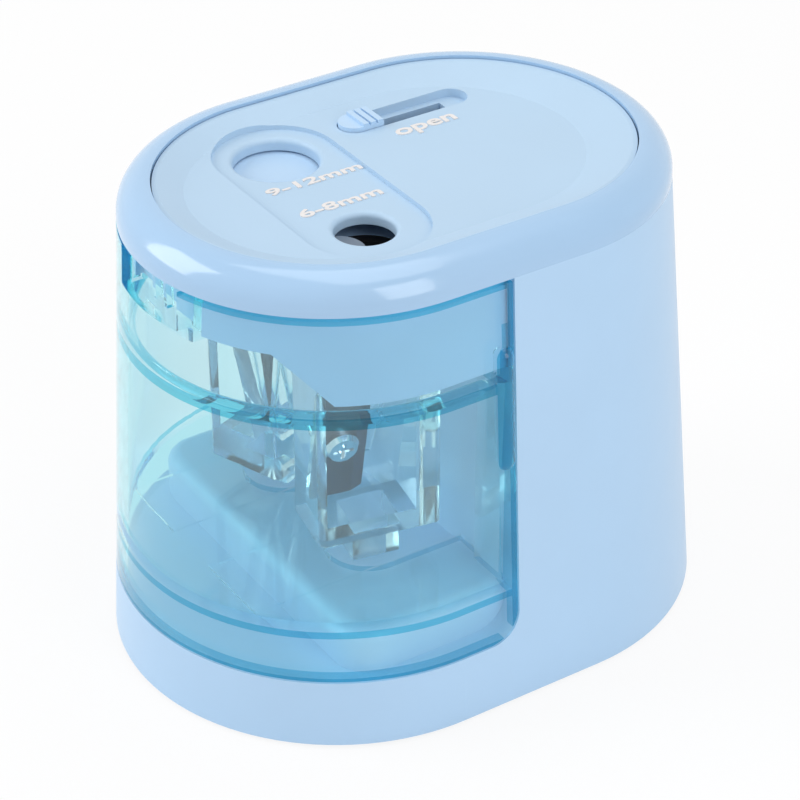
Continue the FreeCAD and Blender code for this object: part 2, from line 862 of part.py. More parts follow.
def make_deck_panel():
    body = new_body("deck_panel")
    inset = d.rim_inset + d.seam_gap
    pad(body, "plate", rim_track(new_sketch(body, "plate_outline", offset=deck_low), inset), deck_edge - deck_low)

    # The dish, from a narrow land at the edge down to the flat
    flat = new_sketch(body, "flat_outline", offset=deck_flat)
    track(flat, d.deck_flat_width / 2, -d.deck_flat_front, d.deck_flat_rear)
    land = rim_track(new_sketch(body, "land_outline", offset=deck_edge), inset + d.deck_land)
    loft(body, "dish", flat, land, cut=True)

    # The recess round both holes, and the holes with rounded rims
    pill_floor = deck_flat - d.pill_depth
    cut_slot(
        body, "pill", (-hole_x, hole_y), (hole_x, hole_y), d.pill_radius, pill_floor, d.overall_height,
    )
    for name, x, radius in (("small", hole_x, d.small_hole_radius), ("large", -hole_x, d.large_hole_radius)):
        add_cylinder(body, name + "_hole", (x, hole_y, bar_low), radius, deck_edge - bar_low, cut=True)
        fillet(
            body, name + "_hole_rim", d.hole_round,
            lambda edge, r=radius: at_height(edge, pill_floor) and is_circle(edge, r),
        )

    # The slider's trough, with a slit in its floor for the stem
    radius = d.trough_width / 2
    rear = knob_front() + d.knob_length + d.selector_travel + d.trough_spare
    cut_slot(
        body, "trough", (-d.trough_x, radius - d.trough_front), (-d.trough_x, rear - radius), radius,
        deck_flat - d.trough_depth, d.overall_height,
    )
    half = d.stem_width / 2 + d.slide_gap
    stem = stem_middle()
    reach = d.stem_length / 2 + d.slide_gap
    add_box(
        body, "slit", (-d.trough_x - half, stem - reach, deck_low),
        (half - d.trough_x, stem + d.selector_travel + reach, deck_flat), cut=True,
    )
    return body


def knob_front():
    return d.slide_gap / 2 - d.trough_front


def stem_middle():
    return knob_front() + d.knob_length / 2


def make_selector_knob():
    body = new_body("selector_knob")
    radius = d.trough_width / 2 - d.slide_gap / 2
    low = deck_flat - d.trough_depth + d.slide_gap
    high = deck_flat + d.knob_proud
    nose = knob_front() + radius
    tail = knob_front() + d.knob_length - d.slide_gap
    x = -d.trough_x
    add_cylinder(body, "nose", (x, nose, low), radius, high - low)
    add_box(body, "grip", (x - radius, nose, low), (x + radius, tail, high))
    pitch = (tail - nose) / KNOB_RIBS
    for number in range(KNOB_RIBS):
        y = nose + pitch * number + pitch / 2
        add_box(
            body, f"rib_{number}", (x - radius, y - d.knob_rib_width / 2, high),
            (x + radius, y + d.knob_rib_width / 2, high + d.knob_rib_height),
        )
    half = d.stem_width / 2
    middle = stem_middle()
    reach = d.stem_length / 2
    add_box(body, "stem", (x - half, middle - reach, shutter_top), (x + half, middle + reach, low))
    return body


def make_shutter_plate():
    body = new_body("shutter_plate")
    radius = d.large_hole_radius + d.shutter_margin
    add_cylinder(body, "disc", (-hole_x, hole_y, shutter_low), radius, d.shutter_thick)
    half = d.stem_width / 2 + 2 * d.shutter_margin
    x = -d.trough_x
    tail = stem_middle() + d.stem_length / 2 + d.shutter_margin
    add_box(body, "arm", (x - half, hole_y, shutter_low), (x + half, tail, shutter_top))
    return body


def make_start_bar():
    body = new_body("start_bar")
    tips = (
        ("small", hole_x, d.small_hole_radius, d.bar_small_tongue),
        ("large", -hole_x, d.large_hole_radius, d.bar_large_tongue),
    )
    back = bar_back()
    for name, x, hole, radius in tips:
        tip = hole_y - hole + d.bar_travel - radius - d.slide_gap / 2
        add_cylinder(body, name + "_tongue", (x, tip, bar_low), radius, d.bar_thick)
        add_box(body, name + "_arm", (x - radius, back - d.bar_depth / 2, bar_low), (x + radius, tip, bar_top))
    outer = d.bar_small_tongue
    add_box(
        body, "crossbar", (-hole_x - outer, back - d.bar_depth, bar_low), (hole_x + outer, back, bar_top),
    )
    # The small tongue is built up to just under the deck, where no shutter passes
    pad = hole_y - d.small_hole_radius + d.bar_travel - d.bar_small_tongue - d.slide_gap / 2
    add_cylinder(
        body, "small_pad", (hole_x, pad, bar_low), d.bar_small_tongue, shutter_top - bar_low,
    )
    # The tongues' rounds are cut off level with the front of the crossbar
    add_box(body, "front_trim", (-FAR, -FAR, bar_low), (FAR, back - d.bar_depth, bar_top), cut=True)
    return body


def bar_back():
    """The rear edge of the start bar's crossbar."""
    return hole_y - d.large_hole_radius - d.bar_reach


def make_start_switch():
    body = new_body("start_switch")
    half = d.switch_width / 2
    rear = bar_back() - d.bar_depth - d.bar_travel - d.slide_gap
    low = tray_floor()
    add_box(body, "case", (-half, rear - d.switch_depth, low), (half, rear, low + d.switch_height))
    return body


def tray_floor():
    """The floor of the housing's front tray, where the switch sits."""
    return housing_bottom + d.housing_brow_rise + d.housing_floor


def small_hub_radius():
    return d.small_hole_radius + d.hub_clear + d.hub_wall


def large_hub_radius():
    return d.large_hole_radius + d.hub_clear + d.hub_wall


def pitch_radius(teeth):
    return d.gear_module * teeth / 2


# The gear train in plan: both drive gears mesh with the idler, which the compound gear's pinion
# turns, and the motor's pinion turns the compound gear's wheel
idler_y = hole_y + root(
    (pitch_radius(d.drive_teeth) + pitch_radius(d.idler_teeth))
    * (pitch_radius(d.drive_teeth) + pitch_radius(d.idler_teeth))
    - hole_x * hole_x
)
compound_y = idler_y + pitch_radius(d.idler_teeth) + pitch_radius(d.pinion_teeth)
motor_y = compound_y + pitch_radius(d.wheel_teeth) + pitch_radius(d.pinion_teeth)


def mesh_angle(angle, teeth, direction, other_teeth):
    """How far the next gear is turned so that its tooth stands in a gap of this one."""
    gap = (direction - angle) % (360.0 / teeth)
    tooth = direction + 180.0 + gap * teeth / other_teeth
    return tooth - 180.0 / other_teeth


def train_angles():
    """The turn of each gear at rest, in degrees, so that all of them mesh."""
    drive = int(d.drive_teeth.value)
    idler = int(d.idler_teeth.value)
    pinion = int(d.pinion_teeth.value)
    wheel = int(d.wheel_teeth.value)
    rise = math.degrees(math.atan2((idler_y - hole_y).value, hole_x.value))
    large = 0.0
    idler_turn = mesh_angle(large, drive, rise, idler)
    small = mesh_angle(idler_turn, idler, -rise, drive)
    compound = mesh_angle(idler_turn, idler, 90.0, pinion)
    motor = mesh_angle(compound, wheel, 90.0, pinion)
    return SimpleNamespace(large=large, small=small, idler=idler_turn, compound=compound, motor=motor)


def add_gear(body, name, teeth, low, face):
    """A toothed disc: a blank with one tooth gap cut, repeated round it."""
    addendum = d.gear_module * d.tooth_tip_share
    dedendum = d.gear_module * d.tooth_root_share
    pitch = pitch_radius(teeth)
    slope = tangent(d.pressure_angle)
    gap = d.gear_module * math.pi / 4 + d.tooth_slack / 2
    add_cylinder(body, name + "_blank", (NOTHING, NOTHING, low), pitch + addendum, face)
    sketch = new_sketch(body, name + "_gap_outline", offset=low)
    bottom = pitch - dedendum
    beyond = d.gear_module / 2
    top = pitch + addendum + beyond
    bottom_half = gap - dedendum * slope
    top_half = gap + (addendum + beyond) * slope
    draw(sketch, [(bottom, -bottom_half), (top, -top_half), (top, top_half), (bottom, bottom_half)])
    cut = pocket(body, name + "_gap", sketch, face)
    pattern = body.newObject("PartDesign::PolarPattern", name + "_teeth")
    pattern.Originals = [cut]
    pattern.Axis = (origin_feature(body, "Z_Axis"), [""])
    pattern.Angle = 360
    bind(pattern, "Occurrences", teeth)
    body.Tip = pattern


def make_drive_gear(label, x, hub, hole, yaw):
    """A drive gear with a hollow hub, which a pencil passes through."""
    body = new_body(label)
    add_gear(body, label, d.drive_teeth, gear_low, d.gear_face)
    add_cylinder(body, label + "_hub", (NOTHING, NOTHING, block_top), hub, cover_top - d.pin_fit - block_top)
    add_cylinder(
        body, label + "_bore", (NOTHING, NOTHING, block_top), hole + d.hub_clear, cover_top - block_top, cut=True,
    )
    place(body, x, hole_y, yaw=yaw)
    return body


def make_idler_gear(yaw):
    body = new_body("idler_gear")
    add_gear(body, "idler", d.idler_teeth, gear_low, d.gear_face)
    add_cylinder(
        body, "idler_hub", (NOTHING, NOTHING, gear_top), d.idler_hub_radius, cover_low - d.hub_clear - gear_top,
    )
    add_cylinder(
        body, "idler_bore", (NOTHING, NOTHING, gear_low), d.axle_radius + d.run_fit, cover_low - gear_low, cut=True,
    )
    place(body, NOTHING, idler_y, yaw=yaw)
    return body


def make_compound_gear(yaw):
    body = new_body("compound_gear")
    add_gear(body, "small", d.pinion_teeth, gear_low, wheel_low - gear_low)
    wheel = new_body("compound_wheel")
    add_gear(wheel, "wheel", d.wheel_teeth, wheel_low, d.wheel_face)
    joined = body.newObject("PartDesign::Boolean", "compound_join")
    joined.setObjects([wheel])
    joined.Type = "Fuse"
    add_cylinder(
        body, "compound_bore", (NOTHING, NOTHING, gear_low), d.axle_radius + d.run_fit, wheel_top - gear_low,
        cut=True,
    )
    place(body, NOTHING, compound_y, yaw=yaw)
    return body


def make_motor_pinion(yaw):
    body = new_body("motor_pinion")
    low = wheel_low - d.hub_clear
    add_gear(body, "pinion", d.pinion_teeth, low, wheel_top - low)
    add_cylinder(
        body, "pinion_bore", (NOTHING, NOTHING, low), d.motor_shaft_radius + d.pin_fit, wheel_top - low, cut=True,
    )
    place(body, NOTHING, motor_y, yaw=yaw)
    return body


def make_axle(label, y):
    body = new_body(label)
    low = well_floor - d.housing_floor / 2
    add_cylinder(body, label + "_pin", (NOTHING, NOTHING, low), d.axle_radius, cover_top - low)
    place(body, NOTHING, y)
    return body


def make_gear_housing():
    body = new_body("gear_housing")
    taper(body, "case", housing_bottom, rim_bottom, d.housing_inset)

    # The front is raised and sloped to clear the bin
    brow = housing_bottom + d.housing_brow_rise
    chin = new_sketch(body, "chin_outline", "YZ_Plane")
    draw(chin, [
        (-d.housing_chin, housing_bottom), (-d.housing_brow, brow), (-FAR, brow), (-FAR, housing_bottom),
    ])
    pocket(body, "chin", chin, 2 * FAR, both_ways=True)
    half = d.catch_half_width + d.catch_wall + 2 * d.slide_gap
    face = catch_back() + 2 * d.slide_gap
    add_box(body, "catch_recess", (-half, -FAR, housing_bottom), (half, face, rim_bottom), cut=True)

    # The well for the gears, and the shallow tray in front for the switch
    inset = d.housing_inset + d.housing_wall
    taper(body, "well", well_floor, rim_bottom, inset, True, blunt=-d.well_front)
    floor = tray_floor()
    tray_front = catch_back() + 2 * d.slide_gap + d.housing_wall
    tray_half = d.tray_width / 2
    add_box(body, "tray", (-tray_half, tray_front, floor), (tray_half, -d.well_front, rim_bottom), cut=True)
    bar_half = hole_x + d.bar_large_tongue + 2 * d.slide_gap
    bar_end = bar_back() - d.bar_depth - d.bar_travel - 2 * d.slide_gap
    add_box(body, "bar_room", (-bar_half, bar_end, cover_top), (bar_half, -d.well_front, rim_bottom), cut=True)

    # Posts under the cover
    for number, (x, y) in enumerate(cover_screw_places()):
        low = well_floor - d.housing_floor / 2
        add_cylinder(body, f"post_{number}", (x, y, low), d.post_radius, cover_low - low)
        add_cylinder(
            body, f"post_hole_{number}", (x, y, cover_low - d.screw_grip),
            d.screw_radius + d.pin_fit, d.screw_grip, cut=True,
        )

    # Holes in the floor for the hubs, the axles, the motor and its screws, and the towers' screws
    holes = [
        ("small_hub", hole_x, hole_y, small_hub_radius() + d.run_fit),
        ("large_hub", -hole_x, hole_y, large_hub_radius() + d.run_fit),
        ("motor_boss", NOTHING, motor_y, d.motor_boss_radius + d.pin_fit),
    ]
    for across, side in signs():
        holes.append((f"motor_screw_{side}", across * d.motor_screw_x, motor_y, d.screw_radius + d.pin_fit))
        holes.append((f"tower_screw_{side}", across * d.tower_x, d.tower_y, d.screw_radius + d.pin_fit))
    for name, x, y, radius in holes:
        add_cylinder(body, name + "_hole", (x, y, housing_bottom), radius, d.housing_floor, cut=True)
    for name, y in (("idler", idler_y), ("compound", compound_y)):
        low = well_floor - d.housing_floor / 2
        add_cylinder(
            body, name + "_seat", (NOTHING, y, low), d.axle_radius + d.pin_fit, d.housing_floor, cut=True,
        )
    return body


def make_gear_cover():
    body = new_body("gear_cover")
    inset = d.housing_inset + d.housing_wall + d.slide_gap
    taper(body, "plate", cover_low, cover_top, inset, blunt=d.slide_gap - d.well_front)
    holes = [
        ("small_hub", hole_x, hole_y, small_hub_radius() + d.run_fit),
        ("large_hub", -hole_x, hole_y, large_hub_radius() + d.run_fit),
        ("idler", NOTHING, idler_y, d.axle_radius + d.pin_fit),
        ("compound", NOTHING, compound_y, d.axle_radius + d.pin_fit),
    ]
    for name, x, y, radius in holes:
        add_cylinder(body, name + "_hole", (x, y, cover_low), radius, d.cover_thick, cut=True)
    for number, (x, y) in enumerate(cover_screw_places()):
        add_cylinder(
            body, f"screw_hole_{number}", (x, y, cover_low), d.screw_radius + d.pin_fit, d.cover_thick, cut=True,
        )
        add_cylinder(
            body, f"screw_seat_{number}", (x, y, cover_top - d.screw_head_height),
            d.screw_head_radius + d.pin_fit, d.screw_head_height, cut=True,
        )
    return body


def motor_can_low():
    return platform_top + d.motor_clear + d.terminal_length + d.motor_cap


def make_motor_can():
    body = new_body("motor_can")
    low = motor_can_low()
    add_cylinder(body, "can", (NOTHING, NOTHING, low), d.motor_radius, housing_bottom - low)
    add_cylinder(
        body, "boss", (NOTHING, NOTHING, housing_bottom), d.motor_boss_radius, d.housing_floor - d.pin_fit,
    )
    add_cylinder(
        body, "shaft_hole", (NOTHING, NOTHING, housing_bottom - d.motor_shaft_depth),
        d.motor_shaft_radius + d.run_fit, d.motor_shaft_depth + d.housing_floor, cut=True,
    )
    for across, side in signs():
        add_cylinder(
            body, f"screw_hole_{side}", (across * d.motor_screw_x, NOTHING, housing_bottom - d.screw_grip),
            d.screw_radius + d.pin_fit, d.screw_grip, cut=True,
        )
    place(body, NOTHING, motor_y)
    return body


def make_motor_end_cap():
    body = new_body("motor_end_cap")
    high = motor_can_low()
    low = high - d.motor_cap
    radius = d.motor_radius - d.terminal_thick
    add_cylinder(body, "cap", (NOTHING, NOTHING, low), radius, d.motor_cap)
    for across, side in signs():
        x = across * d.terminal_x
        gap = d.pin_fit
        width = d.terminal_width / 2 + gap
        add_box(
            body, f"slot_{side}", (x - d.terminal_thick / 2 - gap, -width, low),
            (x + d.terminal_thick / 2 + gap, width, high), cut=True,
        )
    place(body, NOTHING, motor_y)
    return body


def make_motor_terminals():
    high = motor_can_low()
    tabs = []
    for across, side in signs():
        tab = new_body(f"terminal_{side}")
        half = d.terminal_width / 2
        thick = d.terminal_thick / 2
        add_box(
            tab, f"tab_{side}", (-thick, -half, high - d.motor_cap - d.terminal_length), (thick, half, high),
        )
        place(tab, across * d.terminal_x, motor_y)
        tabs.append(tab)
    return group("motor_terminals", tabs)


def make_motor_shaft():
    body = new_body("motor_shaft")
    low = housing_bottom - d.motor_shaft_depth + d.slide_gap
    add_cylinder(body, "shaft", (NOTHING, NOTHING, low), d.motor_shaft_radius, wheel_top + d.slide_gap - low)
    place(body, NOTHING, motor_y)
    return body


def make_motor_screws():
    return make_screw_group(
        "motor_screws", [(across * d.motor_screw_x, motor_y, well_floor) for across, _ in signs()],
    )


def cutter(label, x, width, depth, hole, yaw):
    """The sizes and place of one cutter, shared by its block, blade and screw."""
    mouth = hole + d.socket_gap
    slope = tangent(d.cone_angle)
    tip = block_top - mouth / slope
    low = block_low + d.block_sill
    high = block_top - d.block_head
    return SimpleNamespace(
        label=label, x=x, width=width, depth=depth, mouth=mouth, slope=slope, tip=tip, low=low, high=high,
        yaw=yaw,
    )


def make_cutter_block(form):
    """A clear block with a tapered pencil socket, cut away on one side for the blade."""
    body = new_body(form.label + "_cutter_block")
    half = form.width / 2
    deep = form.depth / 2
    add_box(body, "block", (-deep, -half, block_low), (deep, half, block_top))
    fillet(
        body, "block_edges", d.block_round,
        lambda edge: abs(edge.Vertexes[0].Z - edge.Vertexes[-1].Z) > d.block_round.value,
    )
    add_box(
        body, "peg", (-d.peg_depth / 2, -d.peg_width / 2, peg_low), (d.peg_depth / 2, d.peg_width / 2, block_low),
    )

    # Everything outside the blade's plane goes, between the cheeks, the sill and the head
    window = new_sketch(body, "blade_window_outline", "XZ_Plane", (d.open_cheek - d.blade_cheek) / 2)
    beyond = form.depth
    draw(window, [
        ((form.low - form.tip) * form.slope, form.low), (beyond, form.low),
        (beyond, form.high), ((form.high - form.tip) * form.slope, form.high),
    ])
    pocket(body, "blade_window", window, form.width - d.blade_cheek - d.open_cheek, both_ways=True)
    height = block_top - form.tip
    add_cone(
        body, "socket", (NOTHING, NOTHING, form.tip), d.cone_tip_radius, form.mouth, height, cut=True,
    )
    screw_hole = add_cylinder(
        body, "screw_hole", (NOTHING, NOTHING, NOTHING), d.blade_screw_shank + d.pin_fit,
        d.blade_screw_length + d.slide_gap, cut=True,
        turn=FreeCAD.Rotation(FreeCAD.Vector(0, 1, 0), d.cone_angle.value - 90),
    )
    middle = blade_middle(form)
    bind(screw_hole, "Placement.Base.x", (middle - form.tip) * form.slope)
    bind(screw_hole, "Placement.Base.y", -blade_screw_in())
    bind(screw_hole, "Placement.Base.z", middle)
    place(body, form.x, hole_y, yaw=form.yaw)
    return body


def blade_middle(form):
    return (form.low + form.high) / 2


def blade_screw_in():
    """How far the blade's screw stands from the pencil's axis."""
    return d.blade_gap + d.blade_width / 2 + d.blade_bevel / 3


def make_blade(form):
    """A flat blade on the block's sloped seat, its ground edge along the pencil's side."""
    body = new_body(form.label + "_blade")
    length = (form.high - form.low) / cosine(d.cone_angle) - d.blade_thick - 4 * d.blade_gap
    edge = -d.blade_gap
    sketch = new_sketch(body, "blade_outline", offset=-length / 2)
    draw(sketch, [
        (NOTHING, edge), (d.blade_thick, edge - d.blade_bevel),
        (d.blade_thick, edge - d.blade_width), (NOTHING, edge - d.blade_width),
    ])
    pad(body, "blade", sketch, length)
    add_cylinder(
        body, "hole", (NOTHING, -blade_screw_in(), NOTHING), d.blade_screw_shank + d.pin_fit, d.blade_thick,
        cut=True, turn=FreeCAD.Rotation(FreeCAD.Vector(0, 1, 0), 90),
    )
    seat_on_block(body, form, NOTHING, NOTHING)
    return body


def seat_on_block(body, form, out, along):
    """Lay a piece made about the blade's middle on the block's sloped seat."""
    turn = FreeCAD.Rotation(form.yaw, d.cone_angle.value, 0)
    middle = blade_middle(form)
    local = FreeCAD.Vector(((middle - form.tip) * form.slope).value, -along.value, 0)
    lean = FreeCAD.Rotation(0, d.cone_angle.value, 0).multVec(FreeCAD.Vector(out.value, 0, 0))
    spot = FreeCAD.Rotation(form.yaw, 0, 0).multVec(local + lean)
    body.Placement = FreeCAD.Placement(
        FreeCAD.Vector(form.x.value, hole_y.value, middle.value) + spot, turn,
    )


def make_blade_screw(form):
    body = make_screw(
        form.label + "_blade_screw", d.blade_screw_shank, d.blade_screw_head, d.blade_screw_height,
        d.blade_screw_length,
    )
    seat_on_block(body, form, d.blade_thick, blade_screw_in())
    body.Placement.Rotation = FreeCAD.Rotation(form.yaw, d.cone_angle.value + 90, 0)
    return body


def catch_front():
    return front_at(bin_top)


def catch_back():
    """The inner face of the bin's catch pocket, which the gear housing clears."""
    return catch_front() + d.catch_depth + d.catch_wall


def make_shavings_bin():
    body = new_body("shavings_bin")
    taper(body, "outer_wall", bin_bottom, bin_top, NOTHING)

    # Cut off behind, with rounded lower corners that follow the shell's window
    back = new_sketch(body, "back_outline", "YZ_Plane")
    radius = d.window_corner
    low = bin_bottom
    outline = [
        (bin_back, d.overall_height), (FAR, d.overall_height), (FAR, NOTHING), (bin_back - radius, NOTHING),
        (bin_back - radius, low), (bin_back, low + radius),
    ]
    draw(back, outline, {4: (bin_back - radius, low + radius, True)})
    pocket(body, "back_cut", back, 2 * FAR, both_ways=True)

    # The space for shavings, the open top round the gear housing, and the skirt under the floor
    inner_back = bin_back - d.bin_back_wall
    high = bin_floor_top + d.bin_back_height
    taper(body, "chamber", bin_floor_top, high, d.bin_wall, True, flat_rear=inner_back)
    taper(body, "upper_chamber", high, bin_top, d.bin_wall, True)
    taper(body, "skirt", bin_bottom, bin_floor_low, d.bin_wall, True)
    half = d.bin_back_opening
    add_box(body, "back_opening", (-half, inner_back, bin_floor_top), (half, FAR, bin_top), cut=True)

    # Notches in the floor that clear the cutters' pegs, each with a shallow track in front
    for across, side in signs():
        x = across * hole_x
        cut_slot(
            body, f"notch_{side}", (x, hole_y), (x, NOTHING), d.notch_radius, bin_floor_low, bin_floor_top,
        )
        nose = front_at(bin_floor_top) + half_width(bin_floor_top)
        inner = half_width(bin_floor_top) - d.bin_wall - d.track_depth
        outer_x = hole_x + d.notch_radius
        start = nose - root(inner * inner - outer_x * outer_x)
        add_box(
            body, f"track_{side}", (x - d.notch_radius, start, bin_floor_top - d.track_depth),
            (x + d.notch_radius, hole_y, bin_floor_top), cut=True,
        )
    add_catch(body)
    add_ridge(body)
    add_grips(body)
    return body


def add_catch(body):
    """The finger pocket at the top of the bin's front, with a pair of upright ribs."""
    half = d.catch_half_width + d.catch_wall
    low = bin_top - d.catch_drop - d.catch_ledge
    start = catch_front() + d.bin_wall - d.slide_gap
    add_box(body, "catch_block", (-half, start, low), (half, catch_back(), bin_top))
    floor = bin_top - d.catch_drop
    add_box(
        body, "catch_pocket", (-d.catch_half_width, -FAR, floor),
        (d.catch_half_width, catch_front() + d.catch_depth, bin_top), cut=True,
    )
    face = catch_front() + d.catch_depth
    for across, side in signs():
        x = across * d.catch_rib_spacing / 2
        add_box(
            body, f"catch_rib_{side}", (x - d.catch_rib_width / 2, face - d.catch_rib_depth, floor),
            (x + d.catch_rib_width / 2, face, bin_top - d.catch_rib_width),
        )


def add_ridge(body):
    """The half-round ridge that runs round inside the bin, below the gear housing."""
    outside = half_width(d.ridge_height)
    half = outside - d.bin_wall
    nose = front_at(d.ridge_height) + outside
    bend = body.newObject("PartDesign::AdditiveTorus", "ridge_bend")
    bind(bend, "Radius1", half)
    bind(bend, "Radius2", d.ridge_radius)
    bend.Angle3 = 180
    set_round(bend, (NOTHING, nose, d.ridge_height), FreeCAD.Rotation(180, 0, 0))
    along_y = FreeCAD.Rotation(FreeCAD.Vector(1, 0, 0), -90)
    for across, side in signs():
        start = (across * half, nose, d.ridge_height)
        add_cylinder(body, f"ridge_{side}", start, d.ridge_radius, -d.ridge_end - nose, turn=along_y)
        add_sphere(body, f"ridge_end_{side}", (across * half, -d.ridge_end, d.ridge_height), d.ridge_radius)


def add_grips(body):
    """An upright grip bead at the rear edge of each side, leaning with the wall."""
    lean = math.degrees(math.atan2(d.side_taper.value, rim_bottom.value))
    y = bin_back - d.grip_radius
    rise = d.grip_high - d.grip_low
    run = half_width(d.grip_low) - half_width(d.grip_high)
    for across, side in signs():
        turn = FreeCAD.Rotation(FreeCAD.Vector(0, 1, 0), -across * lean)
        inset = d.grip_radius - d.grip_proud
        foot = (across * (half_width(d.grip_low) - inset), y, d.grip_low)
        head = (across * (half_width(d.grip_high) - inset), y, d.grip_high)
        add_cylinder(body, f"grip_{side}", foot, d.grip_radius, root(rise * rise + run * run), turn=turn)
        add_sphere(body, f"grip_foot_{side}", foot, d.grip_radius)
        add_sphere(body, f"grip_head_{side}", head, d.grip_radius)


def make_all():
    turns = train_angles()
    small = cutter(
        "small", hole_x, d.small_block_width, d.small_block_depth, d.small_hole_radius, d.small_block_angle.value,
    )
    large = cutter(
        "large", -hole_x, d.large_block_width, d.large_block_depth, d.large_hole_radius, d.large_block_angle.value,
    )
    pieces = [
        make_body_shell(), make_base_plate(), make_base_screws(), make_battery_door(), make_rubber_feet(),
        make_battery_cells(), make_contact_leaves(), make_contact_plates(),
        make_top_rim(), make_deck_panel(), make_selector_knob(), make_shutter_plate(),
        make_start_bar(), make_start_switch(),
        make_gear_housing(), make_housing_screws(), make_gear_cover(), make_cover_screws(),
        make_drive_gear("small_drive_gear", hole_x, small_hub_radius(), d.small_hole_radius, turns.small),
        make_drive_gear("large_drive_gear", -hole_x, large_hub_radius(), d.large_hole_radius, turns.large),
        make_idler_gear(turns.idler), make_axle("idler_axle", idler_y),
        make_compound_gear(turns.compound), make_axle("compound_axle", compound_y),
        make_motor_can(), make_motor_end_cap(), make_motor_terminals(), make_motor_shaft(),
        make_motor_screws(), make_motor_pinion(turns.motor), make_shavings_bin(),
    ]
    for form in (small, large):
        pieces += [make_cutter_block(form), make_blade(form), make_blade_screw(form)]
    return pieces


def check(pieces):
    """Stop if a feature failed or a piece has no sound solid."""
    doc.recompute()
    for item in doc.Objects:
        if {"Invalid", "Error"} & set(item.State):
            raise RuntimeError(f"{item.Label} failed: {item.State}")
    for piece in pieces:
        if piece.Shape.isNull() or not piece.Shape.isValid() or not piece.Shape.Solids:
            raise RuntimeError(f"{piece.Label} has no sound solid")


def export(pieces):
    os.makedirs("parts", exist_ok=True)
    for piece in pieces:
        piece.Shape.exportStep(os.path.join("parts", piece.Label + ".step"))


def main():
    pieces = make_all()
    check(pieces)
    export(pieces)
    for piece in pieces:
        print(f"{piece.Label}: {len(piece.Shape.Solids)} solid(s), {piece.Shape.Volume:.1f} mm3")


main()
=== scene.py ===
import json

import bmesh
import bpy
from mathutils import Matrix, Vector


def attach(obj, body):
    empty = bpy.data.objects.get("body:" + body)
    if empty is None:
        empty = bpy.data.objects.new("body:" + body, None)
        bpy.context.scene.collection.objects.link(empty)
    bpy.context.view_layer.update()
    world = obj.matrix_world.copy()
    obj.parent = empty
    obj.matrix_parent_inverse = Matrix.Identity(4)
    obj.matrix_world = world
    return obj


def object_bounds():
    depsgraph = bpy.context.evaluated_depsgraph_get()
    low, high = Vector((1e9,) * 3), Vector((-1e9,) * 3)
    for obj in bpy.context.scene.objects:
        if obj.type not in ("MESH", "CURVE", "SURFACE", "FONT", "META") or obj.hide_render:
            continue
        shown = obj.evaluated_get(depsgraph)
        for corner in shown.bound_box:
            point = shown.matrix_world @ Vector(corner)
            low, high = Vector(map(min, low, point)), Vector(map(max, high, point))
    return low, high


# Looks for the two-hole pencil sharpener: finishes on the CAD nodes, raised lettering on the deck, and
# a white studio seen from the photograph's side. Lengths are in metres, in the frame that the CAD uses.

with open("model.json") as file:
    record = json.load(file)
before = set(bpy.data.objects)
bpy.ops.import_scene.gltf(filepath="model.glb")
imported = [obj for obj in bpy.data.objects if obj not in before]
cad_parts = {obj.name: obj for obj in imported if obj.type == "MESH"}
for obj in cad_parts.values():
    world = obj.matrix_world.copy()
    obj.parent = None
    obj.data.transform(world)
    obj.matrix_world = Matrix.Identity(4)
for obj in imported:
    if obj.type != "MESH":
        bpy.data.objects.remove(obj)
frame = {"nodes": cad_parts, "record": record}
cad_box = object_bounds()
nodes = frame["nodes"]
MM = 0.001


# Colours

def tint(red, green, blue):
    """A colour given as screen values from 0 to 255, as linear light."""
    def linear(value):
        share = value / 255
        return share / 12.92 if share <= 0.04045 else ((share + 0.055) / 1.055) ** 2.4
    return (linear(red), linear(green), linear(blue), 1.0)


SKY_BLUE = tint(177, 209, 238)
# Painted shade: the rim is the shell's own blue made darker, to tone down the soft boxes' highlight on its
# gloss
RIM_BLUE_SHADED = tint(164, 198, 230)
DECK_BLUE = tint(180, 207, 230)
SLIDER_BLUE = tint(184, 213, 240)
HOUSING_BLUE = tint(166, 198, 232)
BAR_GREY = tint(112, 126, 142)
BIN_CLEAR = tint(247, 252, 253)
BIN_DEPTH = tint(36, 230, 242)
# Painted shade: the deeper teal painted on the bin where it is seen edge on, standing in for light's long
# path through the tinted plastic
BIN_EDGE_SHADE = tint(74, 194, 220)
CUTTER_CLEAR = tint(240, 248, 250)
BLADE_STEEL = tint(112, 116, 124)
BRIGHT_PLATE = tint(226, 229, 233)
PLAIN_STEEL = tint(182, 185, 190)
GEAR_WHITE = tint(238, 237, 228)
PINION_BRASS = tint(206, 172, 96)
DARK_PLASTIC = tint(38, 39, 42)
CELL_WRAP = tint(70, 76, 88)
FOOT_RUBBER = tint(58, 58, 60)
LETTER_PALE = tint(230, 226, 224)
FLOOR_PALE = tint(246, 246, 247)


# Effects that several finishes share

NOISE_LOW = 0.25
NOISE_HIGH = 0.75


def calculate(tree, operation, *values):
    """One sum on sockets and plain numbers."""
    made = tree.nodes.new("ShaderNodeMath")
    made.operation = operation
    for slot, value in zip(made.inputs, values):
        if isinstance(value, float):
            slot.default_value = value
        else:
            tree.links.new(value, slot)
    return made.outputs["Value"]


def mix_shaders(tree, share, first, second):
    """The first shader where the share is 0, and the second where it is 1."""
    made = tree.nodes.new("ShaderNodeMixShader")
    tree.links.new(share, made.inputs["Fac"])
    tree.links.new(first, made.inputs[1])
    tree.links.new(second, made.inputs[2])
    return made.outputs["Shader"]


def open_group(name, inputs, outputs):
    group = bpy.data.node_groups.new(name, "ShaderNodeTree")
    for label, kind, value in inputs:
        socket = group.interface.new_socket(label, in_out="INPUT", socket_type=kind)
        socket.default_value = value
    for label, kind in outputs:
        group.interface.new_socket(label, in_out="OUTPUT", socket_type=kind)
    return group, group.nodes.new("NodeGroupInput"), group.nodes.new("NodeGroupOutput")


